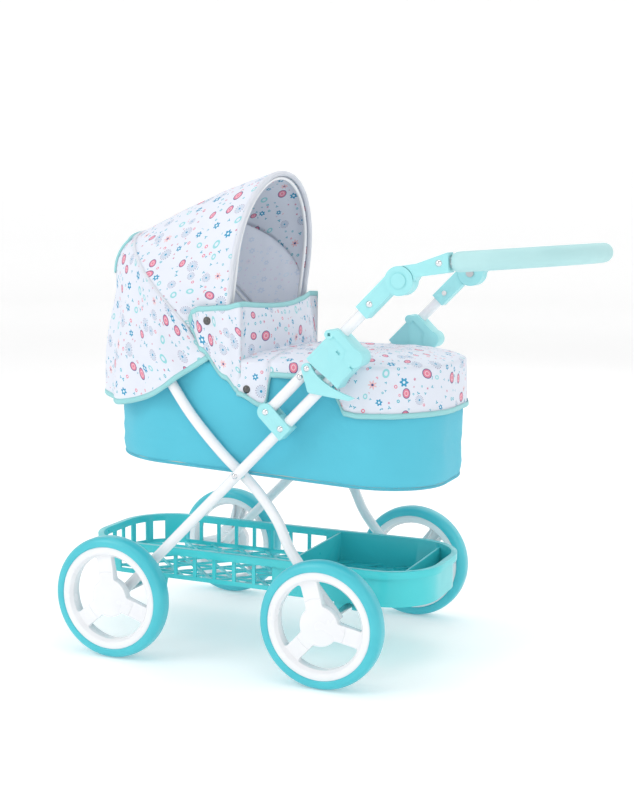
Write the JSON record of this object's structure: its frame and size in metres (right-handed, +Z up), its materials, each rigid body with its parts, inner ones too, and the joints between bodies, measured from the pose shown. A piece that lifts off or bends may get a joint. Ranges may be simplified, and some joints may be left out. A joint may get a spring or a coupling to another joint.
{
  "type": "doll stroller",
  "caption": "Doll pram with spoked wheels, a folding tube frame, fabric cot with hood and apron, moulded basket and a push handle that tilts.",
  "frame": {"origin": "middle of the bounding box on the floor, under the pram", "axes": "+X towards the push handle, +Z up, +Y to the right-hand wheels as seen by the child who pushes from the +X end and looks to -X"},
  "size_m": [0.719, 0.385, 0.6508],
  "materials": {
    "white_plastic": "smooth glossy moulded plastic",
    "turquoise_tyre": "satin soft plastic tyre with a fine relief tread",
    "white_paint": "glossy white powder coat",
    "steel": "bright plain steel",
    "chrome": "polished domed rivet heads",
    "aqua_plastic": "satin moulded plastic",
    "foam": "soft matt foam",
    "blue_cloth": "plain woven polyester with soft folds",
    "print_cloth": "pale woven cloth with a scattered printed pattern",
    "board": "pressed fibre board",
    "gunmetal": "dark snap fastener metal",
    "basket_plastic": "glossy injection moulded plastic"
  },
  "bodies": {
    "chassis": {"axle_front": "steel", "axle_rear": "steel", "wheel_retainers": "steel", "front_spacers": "white_plastic", "rear_spacers": "white_plastic", "leg_outer_left": "white_paint", "leg_outer_right": "white_paint", "leg_inner_left": "white_paint", "leg_inner_right": "white_paint", "cross_rivets": "chrome", "cross_washers": "aqua_plastic", "bracket_left": "aqua_plastic", "bracket_right": "aqua_plastic", "bracket_rivets": "chrome", "handle_pivot_pins": "chrome", "cot_frame": "steel", "cot_shell": "blue_cloth", "cot_board": "board", "cot_rivets": "chrome", "hood_bow_rear": "white_paint", "hood_canopy": "print_cloth", "hood_curtain": "print_cloth", "hood_pins": "gunmetal", "apron": "print_cloth", "wind_flap": "print_cloth", "snaps": "gunmetal", "basket": "basket_plastic"},
    "handle_frame": {"handle_tube_left": "white_paint", "handle_tube_right": "white_paint", "tube_rivets": "chrome", "sleeve_left": "aqua_plastic", "sleeve_right": "aqua_plastic", "catch_pins": "chrome", "catch_springs": "steel", "hinge_lower_left": "aqua_plastic", "hinge_lower_right": "aqua_plastic", "hinge_lower_rivets": "chrome", "hinge_bolts": "steel", "button_springs": "steel"},
    "handle_loop": {"hinge_upper_left": "aqua_plastic", "hinge_upper_right": "aqua_plastic", "hinge_upper_rivets": "chrome", "handle_bar": "steel", "handle_grip": "foam"},
    "button_and_gear_left": {"button_left": "aqua_plastic", "lock_gear_left": "aqua_plastic"},
    "button_and_gear_right": {"button_right": "aqua_plastic", "lock_gear_right": "aqua_plastic"},
    "catch_left_side": {"catch_left": "aqua_plastic"},
    "catch_right_side": {"catch_right": "aqua_plastic"},
    "hood_front": {"hood_bow_front": "white_paint"},
    "wheel_front_left": {"rim_front_left": "white_plastic", "tyre_front_left": "turquoise_tyre"},
    "wheel_front_right": {"rim_front_right": "white_plastic", "tyre_front_right": "turquoise_tyre"},
    "wheel_rear_left": {"rim_rear_left": "white_plastic", "tyre_rear_left": "turquoise_tyre"},
    "wheel_rear_right": {"rim_rear_right": "white_plastic", "tyre_rear_right": "turquoise_tyre"}
  },
  "joints": [
    {"name": "spin_front_left", "type": "hinge", "parent": "chassis", "child": "wheel_front_left", "pos_m": [-0.2544, 0, 0.0825], "axis": [0, 1, 0], "continuous": true},
    {"name": "spin_front_right", "type": "hinge", "parent": "chassis", "child": "wheel_front_right", "pos_m": [-0.2544, 0, 0.0825], "axis": [0, 1, 0], "continuous": true},
    {"name": "spin_rear_left", "type": "hinge", "parent": "chassis", "child": "wheel_rear_left", "pos_m": [0.0504, 0, 0.0825], "axis": [0, 1, 0], "continuous": true},
    {"name": "spin_rear_right", "type": "hinge", "parent": "chassis", "child": "wheel_rear_right", "pos_m": [0.0504, 0, 0.0825], "axis": [0, 1, 0], "continuous": true},
    {"name": "handle_fold", "type": "hinge", "parent": "chassis", "child": "handle_frame", "pos_m": [-0.03818, 0, 0.34391], "axis": [0, -1, 0], "range_deg": [0, 100]},
    {"name": "handle_tilt", "type": "hinge", "parent": "handle_frame", "child": "handle_loop", "pos_m": [0.13839, 0, 0.51431], "axis": [0, -1, 0], "range_deg": [0, 38]},
    {"name": "button_press_left", "type": "slide", "parent": "handle_frame", "child": "button_and_gear_left", "axis": [0, 1, 0], "range_m": [0, 0.003], "stiffness_N_per_m": 800, "springref_m": -0.002, "deforming": ["button_springs"]},
    {"name": "catch_turn_left", "type": "hinge", "parent": "handle_frame", "child": "catch_left_side", "pos_m": [0.01958, 0, 0.40268], "axis": [0, 1, 0], "range_deg": [0, 12], "stiffness_Nm_per_rad": 0.5, "springref_deg": -11.46},
    {"name": "button_press_right", "type": "slide", "parent": "handle_frame", "child": "button_and_gear_right", "axis": [0, -1, 0], "range_m": [0, 0.003], "stiffness_N_per_m": 800, "springref_m": -0.002, "deforming": ["button_springs"]},
    {"name": "catch_turn_right", "type": "hinge", "parent": "handle_frame", "child": "catch_right_side", "pos_m": [0.01958, 0, 0.40268], "axis": [0, 1, 0], "range_deg": [0, 12], "stiffness_Nm_per_rad": 0.5, "springref_deg": -11.46},
    {"name": "hood_fold", "type": "hinge", "parent": "chassis", "child": "hood_front", "pos_m": [-0.121, 0, 0.393], "axis": [0, -1, 0], "range_deg": [0, 45], "deforming": ["hood_canopy"]}
  ]
}
